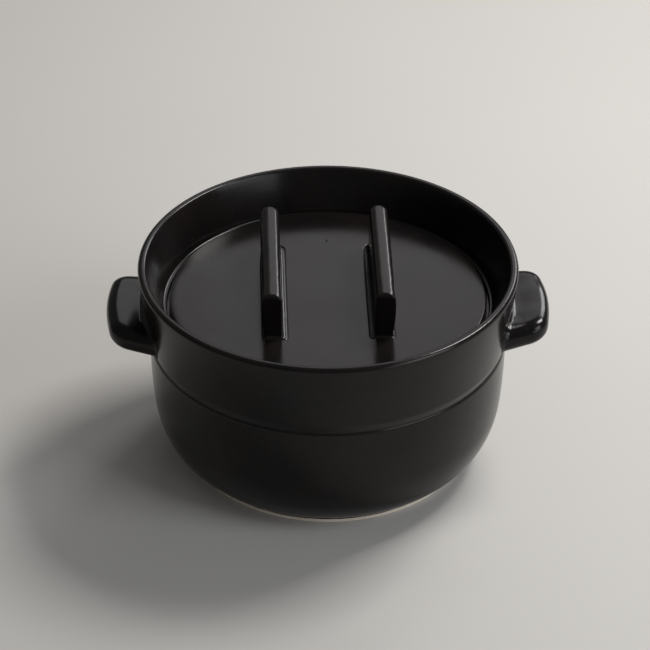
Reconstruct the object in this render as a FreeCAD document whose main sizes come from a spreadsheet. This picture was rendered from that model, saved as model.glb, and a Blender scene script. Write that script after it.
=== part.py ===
import FreeCAD, Part
import os
import Sketcher

# Stoneware rice pot with a drop-in lid.  Millimetres.
# The origin is the centre of the foot, on the surface that the pot stands on; +Z is up and +X runs
# through the two ears.  Two loose pieces make the object, the vessel and the lid.  Each is joined
# from clay members, and every member is one sub-part: the wall, the two ears, the lid's plate and
# the lid's two upright bars.

DRIVING_DIMENSIONS = {
    # Vessel, outside: a foot, a rounded belly, a narrow step, and a collar that flares to the rim.
    "foot_radius": 81.7,
    "foot_height": 3.3,
    "foot_inner_radius": 73.0,
    "foot_recess": 2.5,
    "shin_radius": 96.7,
    "shin_height": 21.9,
    "hip_radius": 100.4,
    "hip_height": 38.2,
    "belly_radius": 101.9,
    "belly_side_low": 74.0,
    "belly_top": 75.9,
    "collar_radius": 102.35,
    "step_height": 76.4,
    "rim_radius": 107.8,
    "rim_height": 122.6,
    "rim_outer_round": 2.2,
    "rim_inner_round": 1.8,
    # Vessel, inside: the wall above the lid, the sunk seat of the lid, and the cooking space.
    "recess_radius": 103.2,
    "recess_low_radius": 93.8,
    "shelf_height": 96.8,
    "cove_round": 1.6,
    "seat_radius": 91.9,
    "seat_lip_round": 0.6,
    "ledge_height": 94.0,
    "throat_radius": 80.5,
    "throat_low": 87.0,
    "throat_round": 1.5,
    "cavity_radius": 94.2,
    "cavity_top": 74.0,
    "haunch_round": 8.0,
    "floor_radius": 90.4,
    "floor_height": 13.0,
    "floor_round": 24.0,
    # Ears: slabs that taper in plan and rise a little towards their tips.
    "ear_inner_x": 96.0,
    "ear_inner_half": 35.0,
    "ear_inner_low": 79.5,
    "ear_corner_x": 121.9,
    "ear_corner_half": 30.2,
    "ear_corner_round": 13.0,
    "ear_end_curve": 113.3,
    "ear_outer_x": 130.0,
    "ear_outer_low": 85.7,
    "ear_thickness": 14.6,
    "ear_edge_round": 6.0,
    "ear_blank_height": 110.0,
    # Lid plate: a flat disc with a locating ring under it.
    "lid_radius": 90.0,
    "lid_thickness": 6.1,
    "lid_edge_round": 1.2,
    "lid_seat_round": 1.0,
    "locator_radius": 79.0,
    "locator_inner_radius": 72.5,
    "locator_depth": 4.0,
    "locator_round": 1.5,
    # Lid bars: upright grips with flat inner sides and a swelling on their outer sides.
    "bar_length": 95.8,
    "bar_setback": 5.2,
    "bar_base_inner": 26.0,
    "bar_base_outer": 35.3,
    "bar_top_inner": 26.2,
    "bar_top_outer": 35.9,
    "bar_side_height": 27.0,
    "bar_swell_curve": 41.0,
    "bar_crown_curve": 13.5,
    "bar_end_round": 3.2,
    "bar_top_round": 2.4,
}

LEFT = FreeCAD.Rotation(FreeCAD.Vector(0, 0, 1), 180)
RIGHT = FreeCAD.Rotation()

# In a sketch, geometry -1 is the horizontal axis and -2 the vertical one; point 1 of -1 is the origin.
ACROSS_AXIS = -1
UP_AXIS = -2
START, END = 1, 2

doc = FreeCAD.newDocument("rice_pot")
sheet = doc.addObject("Spreadsheet::Sheet", "dims")
for row, (alias, number) in enumerate(DRIVING_DIMENSIONS.items(), start=1):
    sheet.set(f"A{row}", alias)
    sheet.set(f"B{row}", str(number))
    sheet.setAlias(f"B{row}", alias)
doc.recompute()


# ---------------------------------------------------------------- sizes that are read from the sheet

def total(formula):
    """Number that a sum of aliases comes to now, such as 'ledge_height + lid_thickness'."""
    amount = 0.0
    sign = 1
    for word in formula.split():
        if word in ("+", "-"):
            sign = 1 if word == "+" else -1
        else:
            amount += sign * getattr(sheet, word)
    return amount


def in_sheet(formula):
    """The same sum as an expression, for binding a feature to the sheet."""
    return " ".join(word if word in ("+", "-") else "dims." + word for word in formula.split())


def bind(feature, **formulas):
    """Binds a feature's properties to sums of aliases."""
    for name, formula in formulas.items():
        feature.setExpression(name, in_sheet(formula))


# ---------------------------------------------------------------- sketches

def origin_plane(body, role):
    """One of the body's own origin planes, such as XZ_Plane."""
    return next(item for item in body.Origin.OriginFeatures if item.Role == role)


def spot(corner):
    """Where a corner lies; a coordinate of None is zero."""
    across, up = corner[:2]
    return FreeCAD.Vector(total(across) if across else 0, total(up) if up else 0, 0)


def circle_arc(start, end, centre):
    """Arc about a centre, always held counter-clockwise, and which of its points comes first."""
    radius = (start - centre).Length
    circle = Part.Circle(centre, FreeCAD.Vector(0, 0, 1), radius)
    turns_left = (centre - start).cross(end - start).z < 0
    first, last = (start, end) if turns_left else (end, start)
    arc = Part.ArcOfCircle(circle, circle.parameter(first), circle.parameter(last))
    return arc, (START, END) if turns_left else (END, START)


def curved_arc(start, end, radius, swells_right):
    """Short arc of a given radius between two points."""
    chord = end - start
    left = FreeCAD.Vector(-chord.y, chord.x, 0).normalize()
    reach = (radius ** 2 - (chord.Length / 2) ** 2) ** 0.5
    centre = (start + end) * 0.5 + left * (reach if swells_right else -reach)
    return circle_arc(start, end, centre)


def tangent_arc(start, end, heading):
    """Arc that leaves its start along a heading and reaches a given end."""
    left = FreeCAD.Vector(-heading.y, heading.x, 0).normalize()
    chord = end - start
    centre = start + left * (chord.Length ** 2 / (2 * left.dot(chord)))
    return circle_arc(start, end, centre)


def heading_at_end(geometry, ends):
    """Direction of travel where a segment ends."""
    if isinstance(geometry, Part.LineSegment):
        return geometry.EndPoint - geometry.StartPoint
    forward = ends == (START, END)
    parameter = geometry.LastParameter if forward else geometry.FirstParameter
    tangent = geometry.tangent(parameter)[0]
    return tangent if forward else tangent * -1


def pin(sketch, index, end, corner):
    """Fixes a corner's two coordinates to the sheet, or to an axis where it is None."""
    across, up = corner[:2]
    if across is None:
        sketch.addConstraint(Sketcher.Constraint("PointOnObject", index, end, UP_AXIS))
    else:
        rule = Sketcher.Constraint("DistanceX", ACROSS_AXIS, START, index, end, total(across))
        number = sketch.addConstraint(rule)
        sketch.setExpression(f"Constraints[{number}]", in_sheet(across))
    if up is None:
        sketch.addConstraint(Sketcher.Constraint("PointOnObject", index, end, ACROSS_AXIS))
    else:
        rule = Sketcher.Constraint("DistanceY", ACROSS_AXIS, START, index, end, total(up))
        number = sketch.addConstraint(rule)
        sketch.setExpression(f"Constraints[{number}]", in_sheet(up))


def draw_loop(sketch, corners):
    """Closed outline through corners.

    A corner is (across, up) after a straight run, (across, up, "tangent") after an arc that
    continues the run before it, and (across, up, radius, swells_right) after any other arc.
    """
    segments = []
    for number, corner in enumerate(corners):
        start, end = spot(corners[number - 1]), spot(corner)
        if len(corner) == 2:
            geometry, ends = Part.LineSegment(start, end), (START, END)
        elif corner[2] == "tangent":
            geometry, ends = tangent_arc(start, end, heading_at_end(*segments[-1][1:]))
        else:
            geometry, ends = curved_arc(start, end, total(corner[2]), corner[3])
        segments.append((sketch.addGeometry(geometry, False), geometry, ends))

    for number, corner in enumerate(corners):
        index, _, (first, last) = segments[number]
        before, _, (_, before_last) = segments[number - 1]
        if len(corner) == 3:
            sketch.addConstraint(Sketcher.Constraint("Tangent", before, before_last, index, first))
        else:
            sketch.addConstraint(Sketcher.Constraint("Coincident", before, before_last, index, first))
        if len(corner) == 4:
            rule = Sketcher.Constraint("Radius", index, total(corner[2]))
            sketch.setExpression(f"Constraints[{sketch.addConstraint(rule)}]", in_sheet(corner[2]))
        pin(sketch, index, last, corner)


def outline(body, name, role, *loops):
    """Sketch on one of the body's origin planes, made of closed loops."""
    sketch = body.newObject("Sketcher::SketchObject", name)
    sketch.AttachmentSupport = (origin_plane(body, role), "")
    sketch.MapMode = "FlatFace"
    for corners in loops:
        draw_loop(sketch, corners)
    doc.recompute()
    return sketch


# ---------------------------------------------------------------- features

def new_body(label):
    """Empty body that becomes one sub-part."""
    body = doc.addObject("PartDesign::Body", label)
    body.Label = label
    return body


def turned(body, kind, name, *corners):
    """Revolution or Groove of an outline about the pot's axis."""
    feature = body.newObject("PartDesign::" + kind, name)
    sketch = outline(body, name + "_outline", "XZ_Plane", corners)
    feature.Profile = sketch
    feature.ReferenceAxis = (sketch, ["V_Axis"])
    feature.Angle = 360
    body.Tip = feature
    doc.recompute()
    return feature


def edges_where(feature, wanted):
    """Names of a feature's edges that pass a test."""
    edges = enumerate(feature.Shape.Edges, start=1)
    return [f"Edge{number}" for number, edge in edges if wanted(edge)]


def rounded(body, name, formula, wanted):
    """Fillet on the edges of the body's newest feature that pass a test."""
    base = body.Tip
    names = edges_where(base, wanted)
    if not names:
        raise RuntimeError(f"{body.Label}: no edge for {name}")
    feature = body.newObject("PartDesign::Fillet", name)
    feature.Base = (base, names)
    feature.Radius = total(formula)
    bind(feature, Radius=formula)
    doc.recompute()
    return feature


def ring(radius, height):
    """Test for a circular edge about the pot's axis, given by two formulas."""
    def wanted(edge):
        curve = edge.Curve
        return (isinstance(curve, Part.Circle)
                and abs(curve.Radius - total(radius)) < 0.01
                and abs(curve.Center.z - total(height)) < 0.01)
    return wanted


# ---------------------------------------------------------------- vessel

def vessel_wall():
    """Belly, collar and foot in one turned wall, with a ledge inside for the lid."""
    body = new_body("vessel")
    turned(body, "Revolution", "vessel_blank",
           (None, "rim_height"),
           ("rim_radius", "rim_height"),
           ("collar_radius", "step_height"),
           ("belly_radius", "belly_top"),
           ("belly_radius", "belly_side_low"),
           ("hip_radius", "hip_height", "tangent"),
           ("shin_radius", "shin_height", "tangent"),
           ("foot_radius", "foot_height", "tangent"),
           ("foot_radius", None),
           (None, None))
    turned(body, "Groove", "lid_recess",
           (None, "ledge_height"),
           ("seat_radius", "ledge_height"),
           ("seat_radius", "shelf_height"),
           ("recess_low_radius", "shelf_height"),
           ("recess_radius", "rim_height"),
           (None, "rim_height"))
    turned(body, "Groove", "cooking_space",
           (None, "floor_height"),
           ("floor_radius", "floor_height"),
           ("cavity_radius", "cavity_top"),
           ("throat_radius", "throat_low"),
           ("throat_radius", "ledge_height"),
           (None, "ledge_height"))
    turned(body, "Groove", "foot_recess_cut",
           (None, None),
           ("foot_inner_radius", None),
           ("foot_inner_radius", "foot_recess"),
           (None, "foot_recess"))
    rounded(body, "floor_curve", "floor_round", ring("floor_radius", "floor_height"))
    rounded(body, "haunch_curve", "haunch_round", ring("cavity_radius", "cavity_top"))
    rounded(body, "throat_edges", "throat_round",
            lambda edge: ring("throat_radius", "ledge_height")(edge)
            or ring("throat_radius", "throat_low")(edge))
    rounded(body, "cove", "cove_round", ring("recess_low_radius", "shelf_height"))
    rounded(body, "seat_lip", "seat_lip_round", ring("seat_radius", "shelf_height"))
    rounded(body, "rim_inside", "rim_inner_round", ring("recess_radius", "rim_height"))
    rounded(body, "rim_outside", "rim_outer_round", ring("rim_radius", "rim_height"))
    return body


def ear(label, turn):
    """Slab handle, luted to the collar along its whole root."""
    body = new_body(label)
    blank = body.newObject("PartDesign::Pad", "ear_blank")
    blank.Profile = outline(body, "ear_plan", "XY_Plane", [
        ("ear_inner_x", "ear_inner_half"),
        ("ear_inner_x", "- ear_inner_half"),
        ("ear_corner_x", "- ear_corner_half"),
        ("ear_corner_x", "ear_corner_half", "ear_end_curve", True)])
    bind(blank, Length="ear_blank_height")
    body.Tip = blank
    doc.recompute()

    # The slab's two faces are parallel and climb outwards: what is under and over them goes.
    faces = body.newObject("PartDesign::Pocket", "ear_faces")
    faces.Profile = outline(body, "ear_side", "XZ_Plane", [
        ("ear_inner_x", None),
        ("ear_outer_x", None),
        ("ear_outer_x", "ear_outer_low"),
        ("ear_inner_x", "ear_inner_low")
    ], [
        ("ear_inner_x", "ear_inner_low + ear_thickness"),
        ("ear_outer_x", "ear_outer_low + ear_thickness"),
        ("ear_outer_x", "ear_blank_height"),
        ("ear_inner_x", "ear_blank_height")])
    faces.Type = "ThroughAll"
    faces.Midplane = True
    body.Tip = faces
    doc.recompute()

    def tip_corner(edge):
        ends = edge.Vertexes
        return all(abs(vertex.X - total("ear_corner_x")) < 0.01 for vertex in ends) and (
            abs(ends[0].Y - ends[-1].Y) < 0.01)

    rounded(body, "ear_corners", "ear_corner_round", tip_corner)

    def along_a_face(edge):
        box = edge.BoundBox
        crosswise = box.XMax - box.XMin < 0.01 and box.ZMax - box.ZMin > 1
        at_root = box.XMax < total("ear_inner_x") + 0.01
        level = abs(edge.tangentAt(edge.FirstParameter).z) < 0.5
        return level and not crosswise and not at_root

    rounded(body, "ear_edges", "ear_edge_round", along_a_face)
    turned(body, "Groove", "ear_root",
           (None, "step_height"),
           ("collar_radius", "step_height"),
           ("rim_radius", "rim_height"),
           (None, "rim_height"))
    body.Placement = FreeCAD.Placement(FreeCAD.Vector(), turn)
    return body


# ---------------------------------------------------------------- lid

def lid_plate():
    """Disc that rests on the ledge, with a ring below that keeps it centred in the throat."""
    body = new_body("lid_plate")
    turned(body, "Revolution", "lid_disc",
           (None, "ledge_height"),
           ("locator_inner_radius", "ledge_height"),
           ("locator_inner_radius", "ledge_height - locator_depth"),
           ("locator_radius", "ledge_height - locator_depth"),
           ("locator_radius", "ledge_height"),
           ("lid_radius", "ledge_height"),
           ("lid_radius", "ledge_height + lid_thickness"),
           (None, "ledge_height + lid_thickness"))
    rounded(body, "top_edge", "lid_edge_round", ring("lid_radius", "ledge_height + lid_thickness"))
    rounded(body, "seat_edge", "lid_seat_round", ring("lid_radius", "ledge_height"))
    rounded(body, "locator_edges", "locator_round",
            lambda edge: ring("locator_radius", "ledge_height - locator_depth")(edge)
            or ring("locator_inner_radius", "ledge_height - locator_depth")(edge))
    return body


def lid_bar(label, turn):
    """Upright grip that stands on the lid's top face and is luted to it."""
    body = new_body(label)
    bar = body.newObject("PartDesign::Pad", "bar_run")
    bar.Profile = outline(body, "bar_section", "XZ_Plane", [
        ("bar_base_inner", None),
        ("bar_base_outer", None),
        ("bar_top_outer", "bar_side_height", "bar_swell_curve", True),
        ("bar_top_inner", "bar_side_height", "bar_crown_curve", True)])
    bar.Midplane = True
    bind(bar, Length="bar_length")
    body.Tip = bar
    doc.recompute()

    def upright(edge):
        box = edge.BoundBox
        return box.YMax - box.YMin < 0.01 and box.ZMax - box.ZMin > total("bar_side_height") / 2

    def on_top(edge):
        return edge.BoundBox.ZMin > total("bar_side_height - bar_top_round")

    rounded(body, "bar_ends", "bar_end_round", upright)
    rounded(body, "bar_top_edges", "bar_top_round", on_top)
    body.Placement = FreeCAD.Placement(FreeCAD.Vector(), turn)
    body.setExpression("Placement.Base.y", in_sheet("bar_setback"))
    body.setExpression("Placement.Base.z", in_sheet("ledge_height + lid_thickness"))
    return body


# ---------------------------------------------------------------- build, check and write

members = [
    vessel_wall(),
    ear("left_ear", LEFT),
    ear("right_ear", RIGHT),
    lid_plate(),
    lid_bar("left_lid_bar", LEFT),
    lid_bar("right_lid_bar", RIGHT),
]
doc.recompute()

for item in doc.Objects:
    if "Invalid" in item.State or "Error" in item.State:
        raise RuntimeError(f"{item.Label} did not recompute: {item.State}")

os.makedirs("parts", exist_ok=True)
for body in members:
    shape = body.Shape
    if shape.isNull() or not shape.isValid() or len(shape.Solids) != 1:
        raise RuntimeError(f"{body.Label} is not one valid solid")
    shape.exportStep(f"parts/{body.Label}.step")
    box = shape.optimalBoundingBox()
    print(f"{body.Label:14} {shape.Volume / 1000:8.1f} cm3   x {box.XMin:.1f} {box.XMax:.1f}"
          f"   y {box.YMin:.1f} {box.YMax:.1f}   z {box.ZMin:.1f} {box.ZMax:.1f}")
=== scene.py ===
import math

import bmesh
import bpy
from mathutils import Matrix, Vector, noise
from mathutils.geometry import delaunay_2d_cdt


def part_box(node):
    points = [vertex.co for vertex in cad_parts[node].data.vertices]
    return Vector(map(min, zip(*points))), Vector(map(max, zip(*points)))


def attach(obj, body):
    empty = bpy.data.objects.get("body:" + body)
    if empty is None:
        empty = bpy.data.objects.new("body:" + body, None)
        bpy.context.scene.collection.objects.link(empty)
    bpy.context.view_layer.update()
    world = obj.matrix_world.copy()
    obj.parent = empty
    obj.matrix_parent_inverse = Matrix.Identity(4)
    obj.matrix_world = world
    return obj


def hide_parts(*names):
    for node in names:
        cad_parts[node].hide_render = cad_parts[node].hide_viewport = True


# Looks of the stoneware rice pot.  The pieces' lengths are millimetres in the pot's frame and become
# metres when a piece is finished.  Lights, camera, floor and materials are in metres throughout.
MM = 0.001
TURN = 2 * math.pi

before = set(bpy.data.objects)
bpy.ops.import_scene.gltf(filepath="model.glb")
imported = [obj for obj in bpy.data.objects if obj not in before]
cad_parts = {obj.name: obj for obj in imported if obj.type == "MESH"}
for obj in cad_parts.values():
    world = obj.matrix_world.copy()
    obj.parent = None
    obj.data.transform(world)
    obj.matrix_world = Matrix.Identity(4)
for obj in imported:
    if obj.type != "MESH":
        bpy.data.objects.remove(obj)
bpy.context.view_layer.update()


def box_mm(node):
    """Lowest and highest corner of a CAD node, in millimetres."""
    low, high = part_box(node)
    return low / MM, high / MM


_, VESSEL_HIGH = box_mm("vessel")
LID_LOW, LID_HIGH = box_mm("lid_plate")
BAR_LOW, BAR_HIGH = box_mm("right_lid_bar")

RIM_Z = VESSEL_HIGH.z
LID_TOP = LID_HIGH.z
LID_RADIUS = LID_HIGH.x
LEDGE_Z = 94.0
SHELF_Z = 96.8
STEP_Z = 76.4
COLLAR_RADIUS = 102.35
RIM_RADIUS = 107.8
RECESS_RADIUS = 103.2
RECESS_LOW_RADIUS = 93.8
SEAT_RADIUS = 91.9
THROAT_RADIUS = 80.5
THROAT_LOW = 87.0
CAVITY_RADIUS = 94.2
CAVITY_TOP = 74.0
FLOOR_RADIUS = 90.4
FLOOR_Z = 13.0
BELLY_RADIUS = 101.9
BELLY_SIDE_LOW = 74.0
HIP = (100.4, 38.2)
SHIN = (96.7, 21.9)
FOOT_RADIUS = 81.7
FOOT_HEIGHT = 3.3
FOOT_INNER_RADIUS = 73.0
FOOT_RECESS = 2.5


# ---------------------------------------------------------------- lines in a plane

def arc_points(centre, radius, start, end, steps):
    """Points on an arc between two angles in radians, both ends included."""
    for step in range(steps + 1):
        angle = start + (end - start) * step / steps
        yield Vector((centre.x + radius * math.cos(angle), centre.y + radius * math.sin(angle)))


def rounded_path(corners, steps=8):
    """Polyline through corners (across, up, round); a corner with a round of 0 stays sharp."""
    path = []
    for number, (across, up, radius) in enumerate(corners):
        corner = Vector((across, up))
        if radius == 0 or number in (0, len(corners) - 1):
            path.append(corner)
            continue
        before = (Vector(corners[number - 1][:2]) - corner).normalized()
        after = (Vector(corners[number + 1][:2]) - corner).normalized()
        half = before.angle(after) / 2
        centre = corner + (before + after).normalized() * (radius / math.sin(half))
        reach = radius / math.tan(half)
        first = corner + before * reach - centre
        last = corner + after * reach - centre
        start = math.atan2(first.y, first.x)
        sweep = first.angle_signed(last)
        path.extend(arc_points(centre, radius, start, start - sweep, steps))
    return path


def tangent_arc(start, end, heading, steps):
    """Arc that leaves start along a heading and reaches end, and the heading that it ends with."""
    left = Vector((-heading.y, heading.x))
    chord = end - start
    swing = chord.length_squared / (2 * left.dot(chord))
    centre = start + left * swing
    first, last = start - centre, end - centre
    sweep = -first.angle_signed(last)
    angle = math.atan2(first.y, first.x)
    points = list(arc_points(centre, abs(swing), angle, angle + sweep, steps))
    spin = last.normalized()
    heading_end = Vector((-spin.y, spin.x)) if sweep > 0 else Vector((spin.y, -spin.x))
    return points, heading_end


def spaced(path, gap):
    """The same line with long runs divided so that no two points are further apart than gap."""
    points = [path[0]]
    for point in path[1:]:
        start = points[-1]
        pieces = max(1, math.ceil((point - start).length / gap))
        points.extend(start.lerp(point, piece / pieces) for piece in range(1, pieces + 1))
    return [p for n, p in enumerate(points) if n == 0 or (p - points[n - 1]).length > 1e-4]


# ---------------------------------------------------------------- meshes

def new_piece(name, bm, material, body, slot, *replaced):
    """Finished object from a bmesh in millimetres, riding on a CAD body."""
    bmesh.ops.remove_doubles(bm, verts=bm.verts, dist=0.002)
    bmesh.ops.recalc_face_normals(bm, faces=bm.faces)
    bmesh.ops.scale(bm, vec=(MM, MM, MM), verts=bm.verts)
    mesh = bpy.data.meshes.new(name)
    bm.to_mesh(mesh)
    bm.free()
    mesh.shade_smooth()
    piece = bpy.data.objects.new(name, mesh)
    bpy.context.scene.collection.objects.link(piece)
    mesh.materials.append(material)
    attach(piece, body)
    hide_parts(*replaced)
    return piece


def leave_bare(piece, clay, is_bare):
    """Gives bare clay to the faces whose centre's radius and height pass a test."""
    piece.data.materials.append(clay)
    for face in piece.data.polygons:
        centre = face.center / MM
        if is_bare(math.hypot(centre.x, centre.y), centre.z):
            face.material_index = 1


def bridge(bm, first, second, closed):
    """Quads between two rows of vertices."""
    count = len(first)
    for n in range(count if closed else count - 1):
        after = (n + 1) % count
        bm.faces.new((first[n], first[after], second[after], second[n]))


def lathe(bm, profile, segments, shape=None):
    """Turns a profile of (radius, height) about the pot's axis; shape may move each point."""
    rows = []
    for point in profile:
        if point.x < 1e-6:
            rows.append([bm.verts.new((0, 0, point.y))])
            continue
        row = []
        for n in range(segments):
            angle = TURN * n / segments
            radius, height = shape(point, angle) if shape else point
            row.append(bm.verts.new((radius * math.cos(angle), radius * math.sin(angle), height)))
        rows.append(row)
    for first, second in zip(rows, rows[1:]):
        if len(first) == 1 or len(second) == 1:
            hub, rim = (first[0], second) if len(first) == 1 else (second[0], first)
            for n in range(segments):
                bm.faces.new((hub, rim[n], rim[(n + 1) % segments]))
        else:
            bridge(bm, first, second, closed=True)
    return rows


def wander(angle, height, seed, cycles=2.0, climb=0.02):
    """Slow variation from -1 to 1 round the pot, which meets itself after a full turn."""
    place = Vector((cycles * math.cos(angle), cycles * math.sin(angle), height * climb + seed))
    return max(-1.0, min(1.0, 1.6 * noise.noise(place)))


# ---------------------------------------------------------------- materials

def node(tree, kind, inputs=None, **settings):
    """Shader node with settings, and inputs by name or number: a value, or another node's output."""
    made = tree.nodes.new(kind)
    for name, value in settings.items():
        setattr(made, name, value)
    for key, value in (inputs or {}).items():
        if isinstance(value, bpy.types.NodeSocket):
            tree.links.new(value, made.inputs[key])
        else:
            made.inputs[key].default_value = value
    return made


def noise_field(tree, place, scale, detail=3.0, roughness=0.55):
    """Noise from 0 to 1 over the object's own coordinates, scale in 1/m."""
    return node(tree, "ShaderNodeTexNoise", {
        "Vector": place, "Scale": scale, "Detail": detail, "Roughness": roughness,
    }).outputs["Fac"]


def remap(tree, value, low, high, to_low, to_high):
    """Linear change of range, held at its ends."""
    return node(tree, "ShaderNodeMapRange", {
        "Value": value, "From Min": low, "From Max": high, "To Min": to_low, "To Max": to_high,
    }).outputs["Result"]


def mixed(tree, factor, first, second):
    """Colour between two."""
    made = node(tree, "ShaderNodeMix", data_type="RGBA")
    for socket, value in zip((made.inputs[0], made.inputs[6], made.inputs[7]),
                             (factor, first, second)):
        if isinstance(value, bpy.types.NodeSocket):
            tree.links.new(value, socket)
        else:
            socket.default_value = value
    return made.outputs[2]


def maths(tree, operation, first, second):
    """One sum of two numbers."""
    return node(tree, "ShaderNodeMath", {0: first, 1: second}, operation=operation).outputs[0]


def new_material(name):
    """Empty material and its tree, object coordinates and principled shader."""
    material = bpy.data.materials.new(name)
    material.use_nodes = True
    tree = material.node_tree
    shader = tree.nodes["Principled BSDF"]
    place = node(tree, "ShaderNodeTexCoord").outputs["Object"]
    return material, tree, place, shader


def bump(tree, shader, height, strength, distance):
    """Puts a height field on the shader's normal."""
    made = node(tree, "ShaderNodeBump", {"Height": height, "Strength": strength,
                                         "Distance": distance})
    tree.links.new(made.outputs["Normal"], shader.inputs["Normal"])


def glaze_material(name):
    """Satin black glaze: soft mottling, mineral specks and orange peel."""
    material, tree, place, shader = new_material(name)
    cloud = noise_field(tree, place, 22.0, detail=4.0)
    fleck = noise_field(tree, place, 900.0, detail=2.0)
    grain = noise_field(tree, place, 2600.0, detail=2.0)

    black = (0.0055, 0.0048, 0.0050, 1)
    brown = (0.0105, 0.0082, 0.0070, 1)
    mottled = mixed(tree, remap(tree, cloud, 0.35, 0.7, 0.0, 1.0), black, brown)
    speck = remap(tree, fleck, 0.66, 0.74, 0.0, 0.55)
    tree.links.new(mixed(tree, speck, mottled, (0.035, 0.030, 0.026, 1)),
                   shader.inputs["Base Color"])

    satin = remap(tree, cloud, 0.3, 0.75, 0.16, 0.24)
    dusted = maths(tree, "ADD", satin, remap(tree, grain, 0.4, 0.7, -0.03, 0.05))
    tree.links.new(dusted, shader.inputs["Roughness"])
    shader.inputs["IOR"].default_value = 1.31

    peel = noise_field(tree, place, 420.0, detail=2.0)
    swell = noise_field(tree, place, 60.0, detail=1.0)
    height = maths(tree, "ADD", maths(tree, "MULTIPLY", peel, 0.12),
                   maths(tree, "MULTIPLY", swell, 0.9))
    bump(tree, shader, height, 0.6, 0.0001)
    return material


def clay_material(name):
    """Bare stoneware: warm cream, sandy, with iron specks and turning marks."""
    material, tree, place, shader = new_material(name)
    cloud = noise_field(tree, place, 40.0, detail=4.0)
    sand = noise_field(tree, place, 1400.0, detail=3.0)
    iron = noise_field(tree, place, 700.0, detail=1.0)
    body = mixed(tree, remap(tree, cloud, 0.3, 0.7, 0.0, 1.0),
                 (0.78, 0.67, 0.54, 1), (0.88, 0.80, 0.69, 1))
    sandy = mixed(tree, remap(tree, sand, 0.35, 0.7, 0.0, 0.5), body, (0.93, 0.88, 0.80, 1))
    tree.links.new(mixed(tree, remap(tree, iron, 0.68, 0.74, 0.0, 0.8), sandy,
                         (0.20, 0.11, 0.06, 1)), shader.inputs["Base Color"])
    tree.links.new(remap(tree, sand, 0.3, 0.7, 0.75, 0.95), shader.inputs["Roughness"])
    bump(tree, shader, sand, 0.7, 0.00015)
    return material


def floor_material():
    """Plain pale matt floor."""
    material, tree, place, shader = new_material("pale_floor")
    cloud = noise_field(tree, place, 3.0, detail=3.0)
    tree.links.new(mixed(tree, cloud, (0.55, 0.535, 0.51, 1), (0.59, 0.575, 0.55, 1)),
                   shader.inputs["Base Color"])
    shader.inputs["Roughness"].default_value = 0.8
    return material


# ---------------------------------------------------------------- vessel

def vessel_profile():
    """Section of the vessel, from the centre of the underside round to the floor inside."""
    foot_side = FOOT_RADIUS - 0.05
    under = rounded_path([
        (0, FOOT_RECESS, 0), (FOOT_INNER_RADIUS - 0.8, FOOT_RECESS, 0.8),
        (FOOT_INNER_RADIUS, 0.6, 0.5), (FOOT_INNER_RADIUS + 0.8, 0.0, 0.5),
        (81.0, 0.0, 0.5), (foot_side, 0.5, 0.4), (foot_side, 2.4, 0)], 4)
    glaze_lip = rounded_path([
        (foot_side, 2.4, 0), (FOOT_RADIUS + 0.2, 2.55, 0.2), (FOOT_RADIUS + 0.1, 3.2, 0)], 4)

    # The belly's arcs run on from one another, downwards from its straight side.
    point, heading = Vector((BELLY_RADIUS, BELLY_SIDE_LOW)), Vector((0, -1))
    belly = []
    for end in (HIP, SHIN, (FOOT_RADIUS, FOOT_HEIGHT)):
        points, heading = tangent_arc(point, Vector(end), heading, 14)
        belly.extend(points)
        point = Vector(end)
    belly.reverse()

    # Up the step and collar, over the rim, down to the lid's seat, and through the cooking space.
    collar = rounded_path([
        (BELLY_RADIUS, BELLY_SIDE_LOW, 0), (102.0, 75.4, 3.4), (101.2, 76.45, 0.25),
        (102.75, 81.4, 9.0), (RIM_RADIUS, RIM_Z, 2.2), (RECESS_RADIUS, RIM_Z, 1.8),
        (RECESS_LOW_RADIUS, SHELF_Z, 1.6), (SEAT_RADIUS, SHELF_Z, 0.6), (SEAT_RADIUS, LEDGE_Z, 0.4),
        (THROAT_RADIUS, LEDGE_Z, 1.5), (THROAT_RADIUS, THROAT_LOW, 1.5),
        (CAVITY_RADIUS, CAVITY_TOP, 8.0), (FLOOR_RADIUS, FLOOR_Z, 24.0), (0, FLOOR_Z, 0)], 10)
    return spaced(under + glaze_lip + belly[1:] + collar[1:], 3.0)


def thrown(point, angle):
    """A point of the vessel's section after throwing and glazing, which are not quite even."""
    radius, height = point
    on_belly = radius > 97 and 8 < height < 70
    radius += 0.12 * wander(angle, height, 3.0) if on_belly else 0.0
    near_line = max(0.0, 1 - abs(height - FOOT_RECESS) / 1.2)
    line = 0.22 * wander(angle, 0, 11.0, cycles=7.0) + 0.1 * wander(angle, 0, 5.0, cycles=25.0)
    return radius, height + (line * near_line if radius > 80 else 0.0)


def vessel_piece(glaze, clay):
    """Vessel wall, glazed down to a wandering line just above the foot's resting edge."""
    bm = bmesh.new()
    lathe(bm, vessel_profile(), 288, thrown)
    piece = new_piece("pot_vessel", bm, glaze, "pot", "pot_glaze", "vessel")

    def underneath(across, height):
        return height < FOOT_RECESS or (height < 5 and across < 73.5)

    leave_bare(piece, clay, underneath)


# ---------------------------------------------------------------- ears

# The root is buried in the wall.  An ear's lower face is at EAR_INNER_LOW where x is EAR_INNER_X.
EAR_ROOT_RADIUS = 101.9
EAR_ROOT_REACH = 0.3
EAR_INNER_X = 96.0
EAR_INNER_HALF = 35.0
EAR_INNER_LOW = 79.5
EAR_CORNER_X = 121.9
EAR_CORNER_HALF = 30.2
EAR_CORNER_ROUND = 13.0
EAR_END_CURVE = 113.3
EAR_SLOPE = 6.2 / 34.0
EAR_THICKNESS = 14.6
EAR_EDGE = 9.0
EAR_EDGE_DEPTH = 6.9
EAR_EDGE_STEPS = 13
SOFTNESS = 0.84
EAR_FILLET = 1.6


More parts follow.
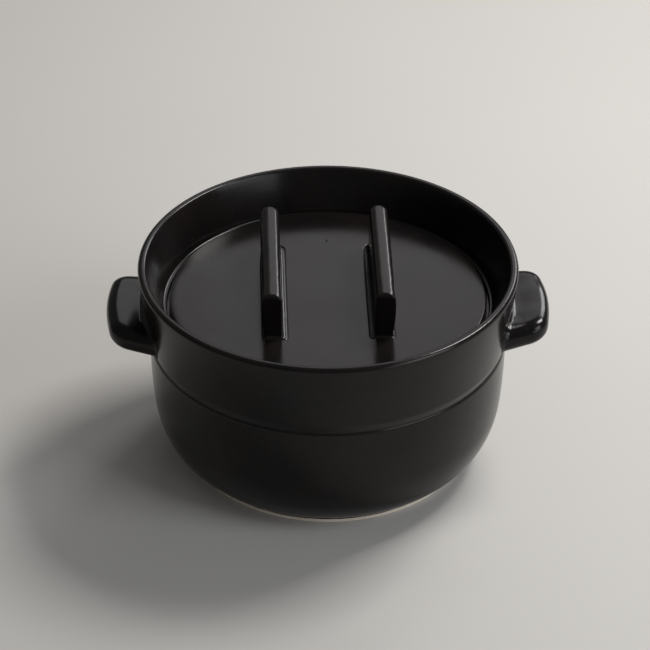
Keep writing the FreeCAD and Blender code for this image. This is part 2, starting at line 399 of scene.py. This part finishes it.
def collar_at(height):
    """Radius of the collar's outer wall at a height."""
    return COLLAR_RADIUS + (RIM_RADIUS - COLLAR_RADIUS) * (height - STEP_Z) / (RIM_Z - STEP_Z)


def ear_half_plan():
    """Half of an ear's outline seen from above: straight side, round corner, slightly curved end."""
    side_end = Vector((EAR_CORNER_X, EAR_CORNER_HALF))
    along = (side_end - Vector((EAR_INNER_X, EAR_INNER_HALF))).normalized()
    inward = Vector((along.y, -along.x))
    centre = Vector((side_end.x - math.sqrt(EAR_END_CURVE ** 2 - side_end.y ** 2), 0.0))
    # The corner's circle touches the straight side and, from inside, the end's curve.
    low, high = 0.0, 40.0
    for _ in range(50):
        back = (low + high) / 2
        hub = side_end - along * back + inward * EAR_CORNER_ROUND
        outside = (hub - centre).length > EAR_END_CURVE - EAR_CORNER_ROUND
        low, high = (back, high) if outside else (low, back)
    start = math.atan2(-inward.y, -inward.x)
    turn = math.atan2(hub.y, hub.x - centre.x)
    root = side_end - along * 26.0
    while root.length > EAR_ROOT_RADIUS:
        root -= along * 0.02
    near_root = [root + along * reach for reach in (0.6, 1.0, 1.3, 1.6, 1.9, 2.3, 2.8, 3.4, 4.2)]
    bend = list(arc_points(hub, EAR_CORNER_ROUND, start, turn, 14))
    end = list(arc_points(centre, EAR_END_CURVE, turn, 0.0, 12))
    return [root] + near_root + spaced([near_root[-1]] + bend + end[1:], 1.5)[1:]


def plan_normals(plan):
    """Outward direction at each point of an ear's outline."""
    last = len(plan) - 1
    normals = []
    for n in range(len(plan)):
        run = (plan[min(n + 1, last)] - plan[max(n - 1, 0)]).normalized()
        normals.append(Vector((-run.y, run.x)))
    return normals


def ear_swelling(point, height):
    """How far the fillet at the collar stands out of the slab at a point."""
    gap = min(EAR_FILLET, max(0.0, point.length - collar_at(height)))
    return EAR_FILLET - math.sqrt(EAR_FILLET ** 2 - (EAR_FILLET - gap) ** 2)


def ear_vertex(bm, side, point, up, tilt, outward):
    """Vertex on the slab; tilt is -90 degrees on the lower face and 90 on the upper."""
    if point.length < EAR_ROOT_RADIUS + EAR_ROOT_REACH:
        point = point.normalized() * EAR_ROOT_RADIUS
    height = EAR_INNER_LOW + (point.x - EAR_INNER_X) * EAR_SLOPE + up
    swell = ear_swelling(point, height)
    reach = point.length
    point = (point + outward * (swell * math.cos(tilt))).normalized() * reach
    height += swell * math.sin(tilt)
    spread = math.atan2(point.y, point.x)
    height += 0.18 * wander(spread, height, 21.0 + side, cycles=9.0)
    return bm.verts.new((side * point.x, side * point.y, height))


def ear_rings(bm, side, plan, normals):
    """Lines along the slab's soft edge, from the lower face round to the upper."""
    def ring(tilt, up):
        inset = EAR_EDGE * (1 - max(0.0, math.cos(tilt)) ** SOFTNESS)
        return [ear_vertex(bm, side, p - n * inset, up, tilt, n) for p, n in zip(plan, normals)]

    rings = []
    for step in range(EAR_EDGE_STEPS + 1):
        tilt = -math.pi / 2 * (1 - step / EAR_EDGE_STEPS)
        rings.append(ring(tilt, EAR_EDGE_DEPTH * (1 - (-math.sin(tilt)) ** SOFTNESS)))
    rings.append(ring(0.0, EAR_THICKNESS / 2))
    for step in range(EAR_EDGE_STEPS + 1):
        tilt = math.pi / 2 * step / EAR_EDGE_STEPS
        up = EAR_THICKNESS - EAR_EDGE_DEPTH * (1 - math.sin(tilt) ** SOFTNESS)
        rings.append(ring(tilt, up))
    return rings


def ear_faces(edge, first):
    """Plan of a flat face inside its edge line, cut into triangles.

    Rows close to the root carry the fillet there, and a grid fills the rest.  Returned are the
    corners, the triangles, and for each corner its number on the edge line, or None inside it.
    """
    middle = Vector((0.0, 0.0))
    turn_at_root = math.atan2(edge[first].y, edge[first].x)
    points = edge[first:len(edge) - first]
    on_edge = len(points)
    points[0] = points[0].normalized() * EAR_ROOT_RADIUS
    points[-1] = points[-1].normalized() * EAR_ROOT_RADIUS
    root = list(arc_points(middle, EAR_ROOT_RADIUS, -turn_at_root, turn_at_root, 24))
    points.extend(root[1:-1])
    border = [(n, (n + 1) % len(points)) for n in range(len(points))]
    reach = 0.95 * turn_at_root
    for rise in (0.5, 0.9, 1.2, 1.5, 1.8, 2.2, 2.7, 3.4):
        points.extend(arc_points(middle, EAR_ROOT_RADIUS + rise, -reach, reach, 26))
    for across in range(40, 50):
        for along in range(-12, 13):
            spot = Vector((across * 2.5, along * 2.5))
            clear = min((spot - p).length for p in edge)
            if spot.length > EAR_ROOT_RADIUS + 4.6 and clear > 1.6:
                points.append(spot)
    corners, _, triangles, origins, _, _ = delaunay_2d_cdt(points, border, [], 1, 1e-4)
    sources = [min(origin, default=on_edge) for origin in origins]
    places = [first + source if source < on_edge else None for source in sources]
    return corners, triangles, places


def ear_piece(name, side, replaced, glaze):
    """Slab ear with soft edges and a small fillet where it is luted to the collar."""
    half = ear_half_plan()
    plan = half + [Vector((p.x, -p.y)) for p in reversed(half[:-1])]
    normals = plan_normals(plan)
    bm = bmesh.new()
    rings = ear_rings(bm, side, plan, normals)
    for lower, upper in zip(rings, rings[1:]):
        bridge(bm, lower, upper, closed=False)

    edge = [p - n * EAR_EDGE for p, n in zip(plan, normals)]
    buried = EAR_ROOT_RADIUS + EAR_ROOT_REACH
    first = max(n for n in range(len(half)) if edge[n].length < buried)
    corners, triangles, places = ear_faces(edge, first)
    used = sorted({n for triangle in triangles for n in triangle})
    middle = Vector((0.0, 0.0))
    for row, up, tilt in ((rings[0], 0.0, -math.pi / 2), (rings[-1], EAR_THICKNESS, math.pi / 2)):
        made = {}
        for n in used:
            inside = places[n] is None
            made[n] = ear_vertex(bm, side, corners[n], up, tilt, middle) if inside else row[places[n]]
        for triangle in triangles:
            bm.faces.new([made[n] for n in triangle])

    # The buried root is closed between the lower face and the upper.
    bmesh.ops.holes_fill(bm, edges=[line for line in bm.edges if line.is_boundary], sides=0)
    new_piece(name, bm, glaze, "pot", "pot_glaze", replaced)


# ---------------------------------------------------------------- lid

# Bars: distances across are from the middle between them, and heights are above the lid.
BAR_SHIFT = -0.8
BAR_INNER = 26.1
BAR_WIDEST = 37.1
BAR_WIDEST_UP = 18.0
BAR_TOP_OUTER = 36.9
BAR_CROWN_RADIUS = 13.5
BAR_FILLET = 2.0
BAR_TOP_ROUND = 2.6
BAR_NEAR_ROUND = 0.9
BAR_FAR_ROUND = 4.5


def bar_outer(up):
    """Outer side of a bar at a height above the lid: it swells, most at two thirds of the way up."""
    if up < BAR_WIDEST_UP:
        return BAR_WIDEST - 1.6 * ((BAR_WIDEST_UP - up) / BAR_WIDEST_UP) ** 2
    return BAR_WIDEST - 0.35 * ((up - BAR_WIDEST_UP) / 7.0) ** 2


def bar_crown(across):
    """Height of a bar's crowned top above the lid."""
    reach = across - (BAR_INNER + BAR_TOP_OUTER) / 2
    return BAR_HIGH.z - LID_TOP - BAR_CROWN_RADIUS + math.sqrt(BAR_CROWN_RADIUS ** 2 - reach ** 2)


def bar_loop(up, inner, outer, near, far, near_round, far_round):
    """Rounded rectangle that starts at the middle of the near end and comes back to it."""
    middle = (inner + outer) / 2
    half = (outer - inner) / 2
    near_round, far_round = min(near_round, half - 0.02), min(far_round, half - 0.02)
    side = [Vector((0.0, near))]
    side.append(Vector(((half - near_round) * 0.5, near)))
    side.extend(arc_points(Vector((half - near_round, near + near_round)), near_round,
                           -math.pi / 2, 0.0, 8))
    low, high = near + near_round, far - far_round
    side.extend(Vector((half, low + (high - low) * step / 40)) for step in range(1, 40))
    side.extend(arc_points(Vector((half - far_round, far - far_round)), far_round,
                           0.0, math.pi / 2, 10))
    side.append(Vector((0.0, far)))
    loop = side + [Vector((-p.x, p.y)) for p in reversed(side[1:-1])]
    return [Vector((middle + p.x, p.y, up)) for p in loop]


def bar_top_loop(inset):
    """Outline of a bar's top, taken in by an inset; the caller sets its heights."""
    return bar_loop(0, BAR_INNER + inset, bar_outer(bar_shoulder()) - inset,
                    BAR_LOW.y + 0.75 * inset, BAR_HIGH.y - inset,
                    BAR_NEAR_ROUND + 0.5 * inset, BAR_FAR_ROUND - 0.4 * inset)


def bar_shoulder():
    """Height above the lid at which a bar's upright sides end."""
    return bar_crown(BAR_INNER) - BAR_TOP_ROUND


def bar_loops():
    """Outlines of a bar from its buried foot up to the flat of its crown."""
    near, far = BAR_LOW.y, BAR_HIGH.y
    loops = []
    for step in range(9):
        up = BAR_FILLET * (step / 8) ** 1.5
        out = BAR_FILLET - math.sqrt(BAR_FILLET ** 2 - (BAR_FILLET - up) ** 2)
        loops.append(bar_loop(up, BAR_INNER - out, bar_outer(up) + 0.4 * out, near - 0.55 * out,
                              far + 0.7 * out, BAR_NEAR_ROUND + 0.5 * out, BAR_FAR_ROUND))
    buried = [p - Vector((0, 0, 0.4)) for p in loops[0]]
    loops.insert(0, buried)
    top = bar_shoulder()
    for step in range(1, 15):
        up = BAR_FILLET + (top - BAR_FILLET) * step / 14
        loops.append(bar_loop(up, BAR_INNER, bar_outer(up), near, far,
                              BAR_NEAR_ROUND, BAR_FAR_ROUND))
    for step in range(1, 11):
        angle = math.pi / 2 * step / 10
        points = bar_top_loop(BAR_TOP_ROUND * (1 - math.cos(angle)))
        for p in points:
            p.z = max(top, bar_crown(p.x) - BAR_TOP_ROUND * (1 - math.sin(angle)))
        loops.append(points)
    for inset in (3.2, 4.0, 4.8):
        points = bar_top_loop(inset)
        for p in points:
            p.z = bar_crown(p.x)
        loops.append(points)
    return loops


def bar_piece(name, side, replaced, glaze):
    """Upright grip: flat inner side, swelling outer side, crowned top, worn edges, luted foot."""
    bm = bmesh.new()
    rows = []
    for points in bar_loops():
        row = []
        for p in points:
            dent = 0.14 * wander(p.y * 0.05, p.z, 31.0 + side, cycles=2.5)
            across = p.x + (dent if p.x > 31 else -0.6 * dent)
            row.append(bm.verts.new((side * across + BAR_SHIFT, p.y, LID_TOP + p.z)))
        rows.append(row)
    for lower, upper in zip(rows, rows[1:]):
        bridge(bm, lower, upper, closed=True)

    # The crown is closed with strips from one long side to the other; the foot with one face.
    crown = rows[-1]
    count = len(crown)
    for n in range(count // 2):
        corners = [crown[n], crown[n + 1], crown[(count - n - 1) % count], crown[-n]]
        bm.faces.new(list(dict.fromkeys(corners)))
    bm.faces.new(list(reversed(rows[0])))
    new_piece(name, bm, glaze, "lid", "lid_glaze", replaced)


# Section across the scored line: distance from its middle, and depth.
GROOVE = ((-1.2, 0.0), (-0.7, 0.0), (-0.45, 0.06), (-0.15, 0.42),
          (0.15, 0.42), (0.45, 0.06), (0.7, 0.0), (1.2, 0.0))


# Rings of the pinhole in the glaze: radius and depth.
PINHOLE_CENTRE = Vector((0.5, 57.7))
PINHOLE = ((1.2, 0.0), (0.75, 0.0), (0.5, 0.5))
LID_SEGMENTS = 240
LID_OUTER = LID_RADIUS + 0.3
LOCATOR_INNER = 72.5
LOCATOR_OUTER = 79.0


def lid_top_loops():
    """Lines in the lid's top as (points, depth): a groove round each bar's foot, and the pinhole."""
    loops = []
    for side in (-1, 1):
        for out, depth in GROOVE:
            flat = bar_loop(0, 23.2 - out, 36.5 + out, BAR_LOW.y - 1.6 - out,
                            BAR_HIGH.y + 0.9 + out, 1.6 + out, 5.6 + out)
            loops.append(([Vector((side * p.x + BAR_SHIFT, p.y)) for p in flat], depth))
    for radius, depth in PINHOLE:
        turns = [TURN * n / 10 for n in range(10)]
        around = [Vector((radius * math.cos(turn), radius * math.sin(turn))) for turn in turns]
        loops.append(([PINHOLE_CENTRE + spot for spot in around], depth))
    return loops


def lid_wave(angle, radius):
    """Slight unevenness in the height of the lid's top."""
    return 0.1 * wander(angle, radius, 41.0, cycles=radius * 0.02)


def lid_edge(bm):
    """Underside, locating ring and rounded edge of the lid; returns the edge of its flat top."""
    low = LID_LOW.z
    section = rounded_path([
        (0, LEDGE_Z, 0), (LOCATOR_INNER, LEDGE_Z, 0.8), (LOCATOR_INNER, low, 1.5),
        (LOCATOR_OUTER, low, 1.5), (LOCATOR_OUTER, LEDGE_Z, 0.6), (LID_OUTER, LEDGE_Z, 1.0),
        (LID_OUTER, LID_TOP, 1.3), (86.0, LID_TOP, 0)], 8)

    def uneven(point, angle):
        radius, height = point
        return radius, height + (lid_wave(angle, radius) if height > LID_TOP - 3 else 0.0)

    return lathe(bm, spaced(section, 4.0), LID_SEGMENTS, uneven)[-1]


def lid_top(bm, rim):
    """Fills the lid's top with triangles that follow the grooves and the pinhole."""
    points = [Vector((v.co.x, v.co.y)) for v in rim]
    edges = [(n, (n + 1) % LID_SEGMENTS) for n in range(LID_SEGMENTS)]
    depth = [0.0] * LID_SEGMENTS
    for loop, down in lid_top_loops():
        first = len(points)
        points.extend(loop)
        depth.extend([down] * len(loop))
        edges.extend((first + n, first + (n + 1) % len(loop)) for n in range(len(loop)))
    gap = 3.4
    on_lines = len(points)
    for line in range(-26, 27):
        for step in range(-30, 31):
            spot = Vector(((step + 0.5 * (line % 2)) * gap, line * gap * 0.866))
            clear = min((spot - p).length for p in points[:on_lines]) > 0.5 * gap
            if spot.length < 85.0 and clear:
                points.append(spot)
    corners, _, triangles, origins, _, _ = delaunay_2d_cdt(points, edges, [], 0, 1e-4)
    made = []
    for spot, sources in zip(corners, origins):
        down = max((depth[n] for n in sources if n < on_lines), default=0.0)
        height = LID_TOP - down + lid_wave(math.atan2(spot.y, spot.x), spot.length)
        made.append(bm.verts.new((spot.x, spot.y, height)))
    for triangle in triangles:
        bm.faces.new([made[n] for n in triangle])


def lid_piece(glaze, clay):
    """Flat disc with a rounded edge, a scored line round each bar, and a bare seat below."""
    bm = bmesh.new()
    lid_top(bm, lid_edge(bm))
    piece = new_piece("pot_lid", bm, glaze, "lid", "lid_glaze", "lid_plate")

    def on_seat(across, height):
        return 80.5 < across < 89.4 and height < LEDGE_Z + 0.3

    leave_bare(piece, clay, on_seat)


# ---------------------------------------------------------------- stage, light and camera

def floor_piece():
    """Wide floor that the pot stands on."""
    bm = bmesh.new()
    bmesh.ops.create_grid(bm, x_segments=8, y_segments=8, size=8.0)
    mesh = bpy.data.meshes.new("floor")
    bm.to_mesh(mesh)
    bm.free()
    floor = bpy.data.objects.new("floor", mesh)
    bpy.context.scene.collection.objects.link(floor)
    mesh.materials.append(floor_material())


def soft_light(name, place, aim, size, power, colour):
    """Rectangular soft box, in metres and watts, turned to a point."""
    data = bpy.data.lights.new(name, "AREA")
    data.shape = "RECTANGLE"
    data.size, data.size_y = size
    data.energy = power
    data.color = colour
    light = bpy.data.objects.new(name, data)
    light.location = place
    light.rotation_euler = (Vector(aim) - Vector(place)).to_track_quat("-Z", "Y").to_euler()
    bpy.context.scene.collection.objects.link(light)


def studio():
    """Soft boxes and a pale surround."""
    world = bpy.data.worlds.new("surround")
    world.use_nodes = True
    background = world.node_tree.nodes["Background"]
    background.inputs["Color"].default_value = (1.0, 0.99, 0.975, 1)
    background.inputs["Strength"].default_value = 0.14
    bpy.context.scene.world = world
    soft_light("overhead", (0.66, 0.46, 1.14), (0, 0, 0.1), (0.42, 0.42), 13.5, (1.0, 0.98, 0.95))
    soft_light("behind", (0.5, 2.3, 1.62), (0.05, 0, 0.1), (1.5, 0.9), 5.2, (1.0, 0.97, 0.98))
    soft_light("window", (1.15, 2.0, 1.35), (0, 0, 0.1), (0.7, 0.9), 13.0, (0.98, 0.98, 1.0))
    soft_light("front_fill", (1.25, -0.75, 1.15), (0, 0, 0.1), (0.8, 0.8), 9.0, (0.92, 0.95, 1.0))
    soft_light("side_fill", (1.5, -1.25, 0.5), (0, 0, 0.1), (1.4, 0.7), 7.0, (0.92, 0.95, 1.0))


def add_camera():
    """Camera in front of the pot, looking down on it."""
    data = bpy.data.cameras.new("camera")
    data.sensor_width = 36.0
    data.lens = 155.08
    data.clip_start, data.clip_end = 0.05, 50.0
    camera = bpy.data.objects.new("camera", data)
    side, back, up = -0.04827, -1.32912, 0.97689
    heading, dip, roll = math.radians(2.01), math.radians(34.01), math.radians(0.33)
    camera.matrix_world = (
        Matrix.Translation((side, back, up))
        @ Matrix.Rotation(-heading, 4, "Z")
        @ Matrix.Rotation(math.pi / 2 - dip, 4, "X")
        @ Matrix.Rotation(roll, 4, "Z"))
    bpy.context.scene.collection.objects.link(camera)
    bpy.context.scene.camera = camera


add_camera()
floor_piece()
studio()
pot_glaze = glaze_material("satin_black_glaze")
bare_clay = clay_material("bare_clay")
vessel_piece(pot_glaze, bare_clay)
ear_piece("pot_left_ear", -1, "left_ear", pot_glaze)
ear_piece("pot_right_ear", 1, "right_ear", pot_glaze)
lid_piece(pot_glaze, bare_clay)
bar_piece("pot_left_bar", -1, "left_lid_bar", pot_glaze)
bar_piece("pot_right_bar", 1, "right_lid_bar", pot_glaze)

bpy.context.scene.view_settings.view_transform = "Standard"
